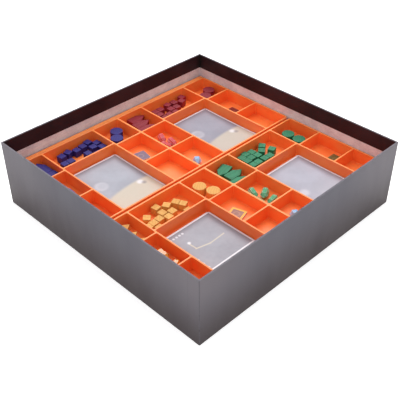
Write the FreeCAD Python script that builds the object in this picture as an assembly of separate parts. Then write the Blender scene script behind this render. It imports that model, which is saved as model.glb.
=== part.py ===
import FreeCAD, Part
import math
import os

# Board game box base with two lift-out piece trays, a lower tray and the pieces of four colours.
# Millimetres, +Z up. The origin is at the middle of the box's underside. X runs along the trays
# and Y runs across them, from the front tray to the back tray.

V = FreeCAD.Vector

# ---------------------------------------------------------------- driving dimensions

BOX_SIDE = 300.0            # outside, both ways
BOX_HEIGHT = 80.0
PAPER = 0.3                 # printed wrap and base sheet, with their glue
GREYBOARD = 1.2             # folded blank
STAY_TAPE = 0.15            # gummed corner tape under the wrap
STAY_LEG = 18.0
BOX_CORNER_RADIUS = 0.8
TURN_IN_DEPTH = 18.6        # how far the wrap is turned down inside the rim
TURN_IN_CORNER_GAP = 0.8

TRAY_CLEARANCE = 0.4        # between an upper tray and the turned-in wrap
FRONT_TRAY_WIDTH = 142.0    # across Y
BACK_TRAY_WIDTH = 144.2
TRAY_HEIGHT = 17.5
TRAY_GAP = 3.0              # slot between the two upper trays
TRAY_WALL = 2.0
TRAY_FLOOR = 2.0
DIVIDER = 2.0
MIDDLE_DIVIDER = 2.5        # between the two players' sections of one tray
TRAY_CORNER_RADIUS = 4.0
CELL_CORNER_RADIUS = 1.5
CELL_FLOOR_RADIUS = 0.6

SMALL_CELL_WIDTH = 35.4     # along X
LONG_CELL_DEPTH = 38.2      # across Y
FAR_CELL_DEPTH = 42.0
MIDDLE_CELL_DEPTH = 46.5

UPPER_TRAY_REST = 32.7      # height of the upper trays' undersides
LOWER_TRAY_GAP = 0.7        # between the lower tray and the turned-in wrap
LOWER_WALL = 2.0
LEDGE_BACK = 146.4          # the far edge of the ledge behind the back tray
LEDGE_GAP = 0.5             # slot between the back tray and the ledge
RIB_FLANGE = 8.0

CUBE = 8.0
HOUSE_LENGTH = 23.0
HOUSE_BODY = 14.0
HOUSE_WIDTH = 12.0
HOUSE_THICKNESS = 8.0
DISC_DIAMETER = 15.0
DISC_HEIGHT = 10.0
CRYSTAL_LENGTH = 20.0
CRYSTAL_ACROSS = 7.5
CRYSTAL_TIP = 5.5
GEM_LENGTH = 17.0
GEM_ACROSS = 9.0
GEM_TIP = 6.5
TOKEN_SIDE = 17.0
TOKEN_THICKNESS = 2.0
TOKEN_CORNER_RADIUS = 1.0

CARD_WIDTH = 63.5
CARD_LENGTH = 88.0
CARD_THICKNESS = 0.32
CARD_CORNER_RADIUS = 3.0
CARDS_IN_DECK = 8
MAP_TILE_SIDE = 135.0
MAP_TILE_THICKNESS = 2.0
MAP_TILE_CORNER_RADIUS = 3.0
TILES_IN_STACK = 10

# ---------------------------------------------------------------- sizes that follow from them

HALF_BOX = BOX_SIDE / 2
BOARD_OUTSIDE = HALF_BOX - PAPER
BOARD_INSIDE = BOARD_OUTSIDE - GREYBOARD
TURN_IN_FACE = BOARD_INSIDE - PAPER
BOX_FLOOR = PAPER + GREYBOARD

HALF_TRAY = TURN_IN_FACE - TRAY_CLEARANCE
TRAY_TOP = UPPER_TRAY_REST + TRAY_HEIGHT
CELL_FLOOR = UPPER_TRAY_REST + TRAY_FLOOR
FRONT_TRAY_START = -HALF_TRAY
FRONT_TRAY_END = FRONT_TRAY_START + FRONT_TRAY_WIDTH
BACK_TRAY_START = FRONT_TRAY_END + TRAY_GAP
BACK_TRAY_END = BACK_TRAY_START + BACK_TRAY_WIDTH

CARD_CELL_WIDTH = (
    HALF_TRAY - TRAY_WALL - MIDDLE_DIVIDER / 2 - 2 * SMALL_CELL_WIDTH - 2 * DIVIDER
)

LOWER_HALF = TURN_IN_FACE - LOWER_TRAY_GAP
LOWER_BACK = BACK_TRAY_END
LOWER_FLOOR_TOP = BOX_FLOOR + LOWER_WALL

# the near and far edges of the tray that each colour's section is in
TRAY_SPAN = {
    "blue": (BACK_TRAY_START, BACK_TRAY_END),
    "red": (BACK_TRAY_START, BACK_TRAY_END),
    "yellow": (FRONT_TRAY_START, FRONT_TRAY_END),
    "green": (FRONT_TRAY_START, FRONT_TRAY_END),
}
# the left face of each section's leftmost cells
SECTION_LEFT = {
    "blue": -HALF_TRAY + TRAY_WALL,
    "red": MIDDLE_DIVIDER / 2,
    "yellow": -HALF_TRAY + TRAY_WALL,
    "green": MIDDLE_DIVIDER / 2,
}

# ---------------------------------------------------------------- how the loose pieces lie
# Each piece is (across, along, turn): millimetres from the middle of its cell along X and Y,
# and degrees about Z.

CUBES = {
    "blue": [
        (-16.1, 10.6, 8), (-6.0, 12.6, 20), (3.7, 9.1, 5), (13.4, 10.6, 0),
        (22.9, 13.6, 10), (21.4, 1.4, 0), (29.9, 5.4, 5), (29.6, -5.0, 0),
        (9.1, -5.0, 0), (-22.3, -3.9, 0), (-13.9, -3.9, 0), (17.9, -12.6, 3),
        (1.9, -14.0, 0),
    ],
    "red": [
        (-22.0, 8.8, 0), (-13.5, 9.0, 3), (-22.0, 0.2, 0), (0.4, 11.0, 20),
        (-3.2, 0.8, 4), (5.7, -0.2, 0), (10.4, 10.2, 5), (20.0, 6.0, 15),
        (26.8, 13.0, 10), (-13.0, -7.2, 0), (-3.8, -8.8, 3), (-30.15, -4.8, 0),
        (-21.5, -9.2, 4),
    ],
    "yellow": [
        (-21.7, 6.8, 45), (-3.7, 13.1, 8), (6.7, 8.5, 30), (17.5, 5.9, 25),
        (20.9, -1.7, 25), (-4.9, 2.1, 4), (-13.6, -2.9, 4), (-22.1, -4.0, 0),
        (-30.2, -5.0, 0), (4.4, -2.9, 3), (-4.4, -7.0, 3), (-22.6, -13.7, 2),
        (16.9, -13.7, 3),
    ],
    "green": [
        (-21.5, 11.4, 0), (-13.2, 13.6, 0), (-4.6, 11.8, 5), (-21.5, 3.2, 0),
        (-13.1, 4.7, 0), (-4.4, 3.2, 0), (6.1, 6.1, 38), (14.0, 12.4, 35),
        (17.0, 0.1, 20), (-22.1, -6.4, 0), (-13.9, -6.4, 0), (-3.5, -6.7, 2),
        (4.9, -7.2, 0),
    ],
}

HOUSES = {
    "blue": [(9.4, 8.8, 90), (-7.0, 8.8, 90), (5.0, -9.1, 180)],
    "red": [(5.7, 14.2, 0), (2.9, 2.0, 0), (1.0, -10.3, 0)],
    "yellow": [(2.5, 13.0, -2), (0.0, -1.3, 1), (0.5, -14.0, -1)],
    "green": [(-0.1, 11.2, 197), (4.9, -1.6, 0), (-1.0, -13.9, 0)],
}

DISCS = {
    "blue": [(5.5, 7.7, 0), (-3.9, -4.5, 0)],
    "red": [(7.8, 0.9, 0), (-6.0, -6.7, 0)],
    "yellow": [(-2.8, 7.3, 0), (2.3, -8.4, 0)],
    "green": [(-2.3, 7.1, 0), (-2.1, -8.9, 0)],
}

CRYSTALS = {
    "blue": [(5.9, -1.0, 90), (-5.0, 16.0, 8), (-8.5, 0.0, 80), (-4.0, -16.0, -8)],
    "red": [(1.0, 11.0, 65), (-6.6, -4.1, 100), (3.9, -3.5, 75), (-3.5, -18.7, 0)],
    "yellow": [(9.3, 6.0, 88), (6.8, -13.5, 20), (-6.0, 13.0, 60), (-8.0, -7.0, 80)],
    "green": [(-3.5, 10.5, 65), (5.5, 1.5, 30), (2.0, -12.5, 12), (-11.0, -5.5, 88)],
}

GEMS = {
    "blue": (-3.0, -3.0, 40),
    "red": (-3.5, -3.4, 50),
    "yellow": (0.0, -4.0, 20),
    "green": (-1.5, 3.2, 60),
}

TOKENS = {
    "blue": (-1.8, 2.2, -11),
    "red": (-1.6, -4.1, 0),
    "yellow": (-2.4, 0.0, 17),
    "green": (2.5, -12.2, 0),
}

# a deck's far right corner, measured in from the card cell's far right corner
DECK_SETBACK = {
    "blue": (1.1, 2.2),
    "red": (1.4, 2.4),
    "yellow": (1.3, 4.8),
    "green": (1.2, 4.6),
}


# ---------------------------------------------------------------- shapes used by several pieces


def block(x0, x1, y0, y1, z0, z1):
    """A plain block between two corners."""
    return Part.makeBox(x1 - x0, y1 - y0, z1 - z0, V(x0, y0, z0))


def upright_edges(solid):
    """The edges of a block that stand along Z."""
    return [
        edge
        for edge in solid.Edges
        if abs(edge.Vertexes[0].Z - edge.Vertexes[-1].Z) > 1e-6
    ]


def rounded_block(x0, x1, y0, y1, z0, z1, radius):
    """A block with its four upright edges rounded."""
    solid = block(x0, x1, y0, y1, z0, z1)
    return solid.makeFillet(radius, upright_edges(solid))


def square_block(half, radius, z0, z1):
    """A rounded block centred on the box."""
    return rounded_block(-half, half, -half, half, z0, z1, radius)


def laid(solid, middle, spot, height):
    """A piece modelled around its own origin, turned and set down in its cell."""
    across, along, turn = spot
    piece = solid.copy()
    piece.rotate(V(0, 0, 0), V(0, 0, 1), turn)
    piece.translate(V(middle[0] + across, middle[1] + along, height))
    return piece


def prism(corners, height):
    """An upright prism on a flat outline."""
    points = [V(x, y, 0) for x, y in corners]
    outline = Part.makePolygon(points + points[:1])
    return Part.Face(outline).extrude(V(0, 0, height))


def save(name, solids):
    """One STEP file for one node, whether it is one solid or a group of like solids."""
    shape = solids[0] if len(solids) == 1 else Part.makeCompound(solids)
    shape.exportStep(os.path.join("parts", name + ".step"))


# ---------------------------------------------------------------- the cells of an upper tray


def section_cells(colour):
    """The eight cells of one player's section: name to (x0, x1, y0, y1)."""
    tray_near, tray_far = TRAY_SPAN[colour]
    far = tray_far - TRAY_WALL
    near = tray_near + TRAY_WALL
    columns = {}
    start = SECTION_LEFT[colour]
    for side in ("left", "middle", "right"):
        width = CARD_CELL_WIDTH if side == "middle" else SMALL_CELL_WIDTH
        columns[side] = (start, start + width)
        start += width + DIVIDER
    middle_far = far - FAR_CELL_DEPTH - DIVIDER
    middle_near = middle_far - MIDDLE_CELL_DEPTH
    cells = {
        "long": (*columns["middle"], far - LONG_CELL_DEPTH, far),
        "card": (*columns["middle"], near, far - LONG_CELL_DEPTH - DIVIDER),
    }
    for side in ("left", "right"):
        cells["far_" + side] = (*columns[side], far - FAR_CELL_DEPTH, far)
        cells["middle_" + side] = (*columns[side], middle_near, middle_far)
        cells["near_" + side] = (*columns[side], near, middle_near - DIVIDER)
    return cells


def middle_of(cell):
    """The middle of a cell, seen from above."""
    x0, x1, y0, y1 = cell
    return (x0 + x1) / 2, (y0 + y1) / 2


def cell_cutter(cell):
    """The space of one cell, with rounded upright corners and a small radius at its floor."""
    solid = rounded_block(*cell, CELL_FLOOR, TRAY_TOP + 1, CELL_CORNER_RADIUS)
    floor_edges = [
        edge
        for edge in solid.Edges
        if all(abs(v.Z - CELL_FLOOR) < 1e-6 for v in edge.Vertexes)
    ]
    return solid.makeFillet(CELL_FLOOR_RADIUS, floor_edges)


# ---------------------------------------------------------------- the box


def base_sheet():
    """The paper sheet glued under the box."""
    return square_block(HALF_BOX, BOX_CORNER_RADIUS, 0, PAPER)


def board_shell():
    """The greyboard blank, folded up into a bottom and four walls."""
    radius = BOX_CORNER_RADIUS - PAPER
    shell = square_block(BOARD_OUTSIDE, radius, PAPER, BOX_HEIGHT - PAPER)
    inside = BOARD_INSIDE
    return shell.cut(block(-inside, inside, -inside, inside, BOX_FLOOR, BOX_HEIGHT))


def corner_stays():
    """The four strips of gummed tape that hold the blank's corners together."""
    half = BOARD_OUTSIDE + STAY_TAPE
    radius = BOX_CORNER_RADIUS - PAPER
    top = BOX_HEIGHT - PAPER
    skin = square_block(half, radius + STAY_TAPE, PAPER, top)
    skin = skin.cut(square_block(BOARD_OUTSIDE, radius, PAPER, top))
    stays = []
    for side_x in (-1, 1):
        for side_y in (-1, 1):
            inner_x = side_x * (half - STAY_LEG)
            inner_y = side_y * (half - STAY_LEG)
            corner = block(
                min(inner_x, side_x * HALF_BOX),
                max(inner_x, side_x * HALF_BOX),
                min(inner_y, side_y * HALF_BOX),
                max(inner_y, side_y * HALF_BOX),
                PAPER,
                top,
            )
            stays.append(skin.common(corner).Solids[0])
    return stays


def printed_wrap(stays):
    """The printed paper: four sides, the rim, and the flaps turned down inside."""
    top = BOX_HEIGHT
    wrap = square_block(HALF_BOX, BOX_CORNER_RADIUS, PAPER, top)
    board = square_block(BOARD_OUTSIDE, BOX_CORNER_RADIUS - PAPER, PAPER, top - PAPER)
    wrap = wrap.cut(board)
    face = TURN_IN_FACE
    wrap = wrap.cut(block(-face, face, -face, face, 0, top + 1))
    flap_bottom = top - TURN_IN_DEPTH
    inside = BOARD_INSIDE
    flaps = block(-inside, inside, -inside, inside, flap_bottom, top - PAPER)
    flaps = flaps.cut(block(-face, face, -face, face, flap_bottom - 1, top))
    gap = inside - TURN_IN_CORNER_GAP
    for x0, x1 in ((-inside, -gap), (gap, inside)):
        for y0, y1 in ((-inside, -gap), (gap, inside)):
            flaps = flaps.cut(block(x0, x1, y0, y1, flap_bottom - 1, top - PAPER))
    wrap = wrap.fuse(flaps.Solids)
    for stay in stays:
        wrap = wrap.cut(stay)
    return wrap.removeSplitter()


# ---------------------------------------------------------------- the trays


def lower_tray():
    """The tray under the two upper ones, with a ledge at their height along the back."""
    half = LOWER_HALF
    back = LOWER_BACK
    wall = LOWER_WALL
    top = UPPER_TRAY_REST
    tray = block(-half, half, -half, back, BOX_FLOOR, top)
    rib_middle = FRONT_TRAY_END + TRAY_GAP / 2
    rib_near = rib_middle - wall / 2
    rib_far = rib_middle + wall / 2
    under_flange = top - wall
    flange_near = rib_middle - RIB_FLANGE / 2
    flange_far = rib_middle + RIB_FLANGE / 2
    inner = half - wall
    wells = (
        block(-inner, inner, -inner, rib_near, LOWER_FLOOR_TOP, under_flange),
        block(-inner, inner, -inner, flange_near, LOWER_FLOOR_TOP, top),
        block(-inner, inner, rib_far, back - wall, LOWER_FLOOR_TOP, under_flange),
        block(-inner, inner, flange_far, back - wall, LOWER_FLOOR_TOP, top),
    )
    for well in wells:
        tray = tray.cut(well)
    shelf = block(-half, half, back - wall, LEDGE_BACK, top - wall, top)
    riser = block(-half, half, LEDGE_BACK - wall, LEDGE_BACK, top - wall, TRAY_TOP)
    ledge = block(-half, half, back + LEDGE_GAP, LEDGE_BACK, TRAY_TOP - wall, TRAY_TOP)
    return tray.fuse([shelf, riser, ledge]).removeSplitter()


def upper_tray(colours):
    """One moulded tray with the sections of two players side by side."""
    near, far = TRAY_SPAN[colours[0]]
    tray = rounded_block(
        -HALF_TRAY,
        HALF_TRAY,
        near,
        far,
        UPPER_TRAY_REST,
        TRAY_TOP,
        TRAY_CORNER_RADIUS,
    )
    for colour in colours:
        for cell in section_cells(colour).values():
            tray = tray.cut(cell_cutter(cell))
    return tray


# ---------------------------------------------------------------- the loose pieces


def cube():
    """A wooden cube, centred on its foot."""
    half = CUBE / 2
    return block(-half, half, -half, half, 0, CUBE)


def house():
    """A wooden block with a pointed end, lying flat, centred on its length."""
    back = -HOUSE_LENGTH / 2
    shoulder = back + HOUSE_BODY
    half = HOUSE_WIDTH / 2
    corners = [(back, -half), (shoulder, -half), (-back, 0), (shoulder, half), (back, half)]
    return prism(corners, HOUSE_THICKNESS)


def disc():
    """A thick wooden disc."""
    return Part.makeCylinder(DISC_DIAMETER / 2, DISC_HEIGHT)


def crystal(length, across, tip):
    """A six-sided acrylic crystal with a point at each end, lying along X on one flat."""
    radius = across / math.sqrt(3)
    middle = across / 2
    ring = [math.radians(60 * k) for k in range(6)]

    def hexagon(x):
        return [
            V(x, radius * math.cos(angle), middle + radius * math.sin(angle))
            for angle in ring
        ]

    near = hexagon(-length / 2 + tip)
    far = hexagon(length / 2 - tip)
    near_point = V(-length / 2, 0, middle)
    far_point = V(length / 2, 0, middle)
    outlines = []
    for k in range(6):
        following = (k + 1) % 6
        outlines.append([near[k], near[following], far[following], far[k]])
        outlines.append([near_point, near[following], near[k]])
        outlines.append([far_point, far[k], far[following]])
    faces = [Part.Face(Part.makePolygon(points + points[:1])) for points in outlines]
    return Part.Solid(Part.makeShell(faces))


def token():
    """A square punched cardboard token."""
    half = TOKEN_SIDE / 2
    return rounded_block(
        -half, half, -half, half, 0, TOKEN_THICKNESS, TOKEN_CORNER_RADIUS
    )


def deck(colour, cell):
    """A deck of player cards, each a little out of line with the next."""
    setback_x, setback_y = DECK_SETBACK[colour]
    middle_x = cell[1] - setback_x - CARD_WIDTH / 2
    middle_y = cell[3] - setback_y - CARD_LENGTH / 2
    card = rounded_block(
        -CARD_WIDTH / 2,
        CARD_WIDTH / 2,
        -CARD_LENGTH / 2,
        CARD_LENGTH / 2,
        0,
        CARD_THICKNESS,
        CARD_CORNER_RADIUS,
    )
    cards = []
    for k in range(CARDS_IN_DECK):
        drift = (0.25 * math.sin(2.1 * k), 0.3 * math.cos(1.7 * k), 0.25 * math.sin(1.3 * k))
        height = CELL_FLOOR + k * CARD_THICKNESS
        cards.append(laid(card, (middle_x, middle_y), drift, height))
    return cards


def map_tile_stack(middle_x, middle_y):
    """A stack of square cardboard map tiles in the lower tray."""
    half = MAP_TILE_SIDE / 2
    tile = rounded_block(
        -half, half, -half, half, 0, MAP_TILE_THICKNESS, MAP_TILE_CORNER_RADIUS
    )
    tiles = []
    for k in range(TILES_IN_STACK):
        drift = (0.3 * math.sin(1.9 * k), 0.3 * math.cos(2.3 * k), 0.1 * math.sin(1.1 * k))
        height = LOWER_FLOOR_TOP + k * MAP_TILE_THICKNESS
        tiles.append(laid(tile, (middle_x, middle_y), drift, height))
    return tiles


# ---------------------------------------------------------------- writing every node


def save_box():
    stays = corner_stays()
    save("base_sheet", [base_sheet()])
    save("board_shell", [board_shell()])
    save("corner_stays", stays)
    save("printed_wrap", [printed_wrap(stays)])


def save_trays():
    save("lower_tray", [lower_tray()])
    save("upper_tray_back", [upper_tray(("blue", "red"))])
    save("upper_tray_front", [upper_tray(("yellow", "green"))])


def save_map_tiles():
    rib_middle = FRONT_TRAY_END + TRAY_GAP / 2
    front_near = -LOWER_HALF + LOWER_WALL
    front_far = rib_middle - RIB_FLANGE / 2
    back_near = rib_middle + RIB_FLANGE / 2
    back_far = LOWER_BACK - LOWER_WALL
    spread = LOWER_HALF / 2
    wells = {"front": (front_near + front_far) / 2, "back": (back_near + back_far) / 2}
    for row, middle_y in wells.items():
        save("map_tiles_" + row + "_left", map_tile_stack(-spread, middle_y))
        save("map_tiles_" + row + "_right", map_tile_stack(spread, middle_y))


def save_pieces(colour):
    cells = section_cells(colour)
    middles = {name: middle_of(cell) for name, cell in cells.items()}

    def group(solid, cell_name, spots):
        return [laid(solid, middles[cell_name], spot, CELL_FLOOR) for spot in spots]

    small_crystal = crystal(CRYSTAL_LENGTH, CRYSTAL_ACROSS, CRYSTAL_TIP)
    gem = crystal(GEM_LENGTH, GEM_ACROSS, GEM_TIP)
    save(colour + "_cubes", group(cube(), "long", CUBES[colour]))
    save(colour + "_houses", group(house(), "far_left", HOUSES[colour]))
    save(colour + "_discs", group(disc(), "far_right", DISCS[colour]))
    save(colour + "_crystals", group(small_crystal, "middle_left", CRYSTALS[colour]))
    save(colour + "_clear_gem", group(gem, "near_left", [GEMS[colour]]))
    save(colour + "_token", group(token(), "middle_right", [TOKENS[colour]]))
    save(colour + "_card_deck", deck(colour, cells["card"]))


os.makedirs("parts", exist_ok=True)
save_box()
save_trays()
save_map_tiles()
for player_colour in ("blue", "red", "yellow", "green"):
    save_pieces(player_colour)
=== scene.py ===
import math
import random

import bmesh
import bpy
from mathutils import Matrix, Vector


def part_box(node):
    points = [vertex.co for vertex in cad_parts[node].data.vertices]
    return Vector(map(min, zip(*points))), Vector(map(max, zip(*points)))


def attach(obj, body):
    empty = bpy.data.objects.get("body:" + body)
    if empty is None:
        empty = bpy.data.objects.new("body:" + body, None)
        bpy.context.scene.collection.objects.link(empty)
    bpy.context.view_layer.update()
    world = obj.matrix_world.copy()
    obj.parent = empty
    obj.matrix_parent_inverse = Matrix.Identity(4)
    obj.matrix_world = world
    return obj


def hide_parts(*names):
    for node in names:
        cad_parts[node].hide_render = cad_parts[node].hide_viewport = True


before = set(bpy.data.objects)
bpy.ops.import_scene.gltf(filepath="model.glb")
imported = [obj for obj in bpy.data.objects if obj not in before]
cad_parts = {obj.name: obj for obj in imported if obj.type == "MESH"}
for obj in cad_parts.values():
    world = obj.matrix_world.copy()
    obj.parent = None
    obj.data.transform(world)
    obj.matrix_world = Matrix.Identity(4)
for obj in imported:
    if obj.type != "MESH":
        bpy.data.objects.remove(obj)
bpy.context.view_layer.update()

# ---------------------------------------------------------------- greyboard blank
# The box's core is one sheet of grey chipboard, cut and scored, then folded up into a floor and
# four walls. It shows as a bare pale band inside, between the turned-in paper and the trays.

MM = 0.001
TO_MM = 1000.0
TILT = 1e-6


def shade(red, green, blue):
    """A printer's 0 to 255 colour as the renderer's linear one."""
    linear = []
    for part in (red, green, blue):
        level = part / 255
        low = level <= 0.04045
        linear.append(level / 12.92 if low else ((level + 0.055) / 1.055) ** 2.4)
    return (*linear, 1.0)


def put(tree, kind, feeds=None, **settings):
    """Adds a node to a tree. feeds gives its sockets numbers, colours or other sockets."""
    node = tree.nodes.new(kind)
    for key, value in settings.items():
        setattr(node, key, value)
    for key, value in (feeds or {}).items():
        socket = node.inputs[key]
        if isinstance(value, bpy.types.NodeSocket):
            tree.links.new(value, socket)
        else:
            socket.default_value = value
    return node


def sum_up(tree, operation, first, second=0.0, third=0.0, clamp=False):
    """One step of arithmetic on values."""
    feeds = {0: first, 1: second, 2: third}
    node = put(tree, "ShaderNodeMath", feeds, operation=operation, use_clamp=clamp)
    return node.outputs[0]


def blend_colours(tree, share, first, second, way="MIX"):
    """Two colours mixed by a share from 0 to 1."""
    node = put(tree, "ShaderNodeMix", data_type="RGBA", blend_type=way)
    for socket, value in ((node.inputs[0], share), (node.inputs[6], first), (node.inputs[7], second)):
        if isinstance(value, bpy.types.NodeSocket):
            tree.links.new(value, socket)
        else:
            socket.default_value = value
    return node.outputs[2]


def step_between(tree, value, low, high, to_low=0.0, to_high=1.0):
    """A smooth step of a value, from low to high."""
    feeds = {"Value": value, "From Min": low, "From Max": high, "To Min": to_low, "To Max": to_high}
    node = put(tree, "ShaderNodeMapRange", feeds, interpolation_type="SMOOTHSTEP")
    return node.outputs[0]


def noise(tree, place, scale, detail=3.0, roughness=0.5):
    """Soft noise, with place in millimetres."""
    feeds = {"Vector": place, "Scale": scale, "Detail": detail, "Roughness": roughness}
    return put(tree, "ShaderNodeTexNoise", feeds).outputs["Fac"]


def stretched(tree, place, factors):
    """The same place, stretched along its axes."""
    feeds = {0: place, 1: factors}
    return put(tree, "ShaderNodeVectorMath", feeds, operation="MULTIPLY").outputs[0]


def place_in_mm(tree):
    """A carried-over piece's own coordinates, in millimetres."""
    corner = put(tree, "ShaderNodeTexCoord").outputs["Object"]
    return stretched(tree, corner, (TO_MM, TO_MM, TO_MM))


def marked(tree, name, output="Fac"):
    """What the mesh code marked on a piece under this name."""
    return put(tree, "ShaderNodeAttribute", attribute_name=name).outputs[output]


def start_material(name):
    """An empty material with its surface shader."""
    material = bpy.data.materials.new(name)
    material.use_nodes = True
    tree = material.node_tree
    tree.nodes.clear()
    shader = put(tree, "ShaderNodeBsdfPrincipled")
    output = put(tree, "ShaderNodeOutputMaterial")
    tree.links.new(shader.outputs[0], output.inputs["Surface"])
    return material, tree, shader


def dress(tree, shader, colour, roughness, height, relief_mm, strength=1.0):
    """Feeds a shader its colour, roughness and relief."""
    feeds = {"Height": height, "Strength": strength, "Distance": relief_mm * MM}
    relief = put(tree, "ShaderNodeBump", feeds)
    tree.links.new(colour, shader.inputs["Base Color"])
    if isinstance(roughness, bpy.types.NodeSocket):
        tree.links.new(roughness, shader.inputs["Roughness"])
    else:
        shader.inputs["Roughness"].default_value = roughness
    tree.links.new(relief.outputs[0], shader.inputs["Normal"])


def start_group(name, takes, gives):
    """An empty node group with named sockets."""
    group = bpy.data.node_groups.new(name, "ShaderNodeTree")
    for label, kind in takes:
        group.interface.new_socket(label, in_out="INPUT", socket_type="NodeSocket" + kind)
    for label, kind in gives:
        group.interface.new_socket(label, in_out="OUTPUT", socket_type="NodeSocket" + kind)
    inside = put(group, "NodeGroupInput").outputs
    outside = put(group, "NodeGroupOutput").inputs
    return group, inside, outside


def use_group(tree, group, **feeds):
    """Places a node group; its sockets are named in feeds with _ for each space."""
    node = put(tree, "ShaderNodeGroup", node_tree=group)
    for key, value in feeds.items():
        socket = node.inputs[key.replace("_", " ")]
        if isinstance(value, bpy.types.NodeSocket):
            tree.links.new(value, socket)
        else:
            socket.default_value = value
    return node.outputs


# pressed fibres: clouds, short hairs and dark flecks, as in chipboard, kraft tape and card
fibre, given, made = start_group(
    "pressed_fibre",
    [("Place", "Vector"), ("Hair Length", "Float"), ("Fleck Share", "Float")],
    [("Tone", "Float"), ("Flecks", "Float"), ("Height", "Float")],
)
clouds = noise(fibre, given["Place"], 0.06, 4.0)
hair_scale = sum_up(fibre, "DIVIDE", 1.6, given["Hair Length"])
hairs_along = noise(fibre, stretched(fibre, given["Place"], (0.25, 2.2, 1.0)), hair_scale, 2.0)
hairs_across = noise(fibre, stretched(fibre, given["Place"], (2.0, 0.3, 1.1)), hair_scale, 2.0)
hairs = sum_up(fibre, "MULTIPLY", sum_up(fibre, "ADD", hairs_along, hairs_across), 0.5)
fleck_noise = noise(fibre, given["Place"], 1.9, 1.0)
fleck_edge = sum_up(fibre, "SUBTRACT", 1.0, given["Fleck Share"])
fleck_top = sum_up(fibre, "ADD", fleck_edge, 0.06)
flecks = step_between(fibre, fleck_noise, fleck_edge, fleck_top)
tone = sum_up(fibre, "ADD", sum_up(fibre, "MULTIPLY", clouds, 0.55), sum_up(fibre, "MULTIPLY", hairs, 0.45))
fibre.links.new(tone, made["Tone"])
fibre.links.new(flecks, made["Flecks"])
fibre.links.new(hairs, made["Height"])

BOARD_PALE = shade(231, 226, 228)
BOARD_DEEP = shade(208, 198, 203)
BOARD_FLECK = shade(150, 138, 140)

greyboard, tree, shader = start_material("greyboard_sheet")
place = place_in_mm(tree)
pulp = use_group(tree, fibre, Place=place, Hair_Length=2.4, Fleck_Share=0.33)
board_tone = step_between(tree, pulp["Tone"], 0.36, 0.64)
board_colour = blend_colours(tree, board_tone, BOARD_DEEP, BOARD_PALE)
fleck_share = sum_up(tree, "MULTIPLY", pulp["Flecks"], 0.55)
board_colour = blend_colours(tree, fleck_share, board_colour, BOARD_FLECK)
dress(tree, shader, board_colour, 0.92, pulp["Height"], 0.12)
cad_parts["board_shell"].data.materials[0] = greyboard

# ---------------------------------------------------------------- corner tape
# Gummed kraft paper tape, wetted and folded round each upright corner of the blank to hold its
# walls together. The printed wrap covers it.

KRAFT = shade(176, 136, 94)
KRAFT_DARK = shade(140, 102, 66)
KRAFT_FLECK = shade(96, 66, 40)

kraft, tree, shader = start_material("kraft_tape")
pulp = use_group(tree, fibre, Place=place_in_mm(tree), Hair_Length=1.2, Fleck_Share=0.3)
kraft_colour = blend_colours(tree, step_between(tree, pulp["Tone"], 0.35, 0.65), KRAFT_DARK, KRAFT)
kraft_colour = blend_colours(tree, pulp["Flecks"], kraft_colour, KRAFT_FLECK)
dress(tree, shader, kraft_colour, 0.8, pulp["Height"], 0.05)
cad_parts["corner_stays"].data.materials[0] = kraft

# ---------------------------------------------------------------- base sheet
# A plain dark sheet of the same printed paper, glued flat under the box. Its edges are rubbed
# pale where the box slides on a table.

SHEET_DARK = shade(66, 60, 62)
SHEET_RUBBED = shade(128, 122, 122)

base_paper, tree, shader = start_material("base_paper_sheet")
place = place_in_mm(tree)
pulp = use_group(tree, fibre, Place=place, Hair_Length=1.0, Fleck_Share=0.2)
apart = put(tree, "ShaderNodeSeparateXYZ", {0: place}).outputs
reach = sum_up(tree, "MAXIMUM", sum_up(tree, "ABSOLUTE", apart[0]), sum_up(tree, "ABSOLUTE", apart[1]))
near_edge = step_between(tree, reach, 140.0, 150.0)
scuffs = step_between(tree, noise(tree, place, 0.35, 5.0), 0.46, 0.68)
rubbed = sum_up(tree, "MULTIPLY", near_edge, scuffs)
sheet_colour = blend_colours(tree, rubbed, SHEET_DARK, SHEET_RUBBED)
sheet_roughness = sum_up(tree, "MULTIPLY_ADD", rubbed, 0.3, 0.5)
dress(tree, shader, sheet_colour, sheet_roughness, pulp["Height"], 0.03)
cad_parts["base_sheet"].data.materials[0] = base_paper

# ---------------------------------------------------------------- printed wrap
# One sheet of satin printed paper, glued round the four walls, lapped at the corners, folded
# over the rim and turned down inside. The turned-in strip is printed almost black.

WRAP_CORNER = 0.8
WRAP_LEAST_CORNER = 0.06
WRAP_RIM = 0.5
WRAP_WALL = 1.8
TURN_IN_DEPTH = 18.6
WRAP_PAPER = 0.3
CORNER_STEPS = 8
RIM_STEPS = 4
LAP_WIDTH = 14.0


def rounded_rectangle(low_x, high_x, low_y, high_y, radius, steps=CORNER_STEPS):
    """Points round a rectangle with rounded corners, anticlockwise from above."""
    corners = (
        (high_x - radius, high_y - radius, 0),
        (low_x + radius, high_y - radius, 90),
        (low_x + radius, low_y + radius, 180),
        (high_x - radius, low_y + radius, 270),
    )
    points = []
    for middle_x, middle_y, start in corners:
        for step in range(steps + 1):
            angle = math.radians(start + 90 * step / steps)
            points.append((middle_x + radius * math.cos(angle), middle_y + radius * math.sin(angle)))
    return points


def quarter(steps):
    """Sine and cosine along a quarter turn, ends included."""
    turns = [math.pi / 2 * step / steps for step in range(steps + 1)]
    return [(math.sin(turn), math.cos(turn)) for turn in turns]


def ring_of(mesh, points, height):
    """Adds a closed ring of vertices. Points and height are in millimetres."""
    return [mesh.verts.new((x * MM, y * MM, height * MM)) for x, y in points]


def skin_between(mesh, lower, upper):
    """Faces between two rings with as many vertices."""
    count = len(lower)
    faces = []
    for k in range(count):
        following = (k + 1) % count
        faces.append(mesh.faces.new((lower[k], lower[following], upper[following], upper[k])))
    return faces


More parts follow.
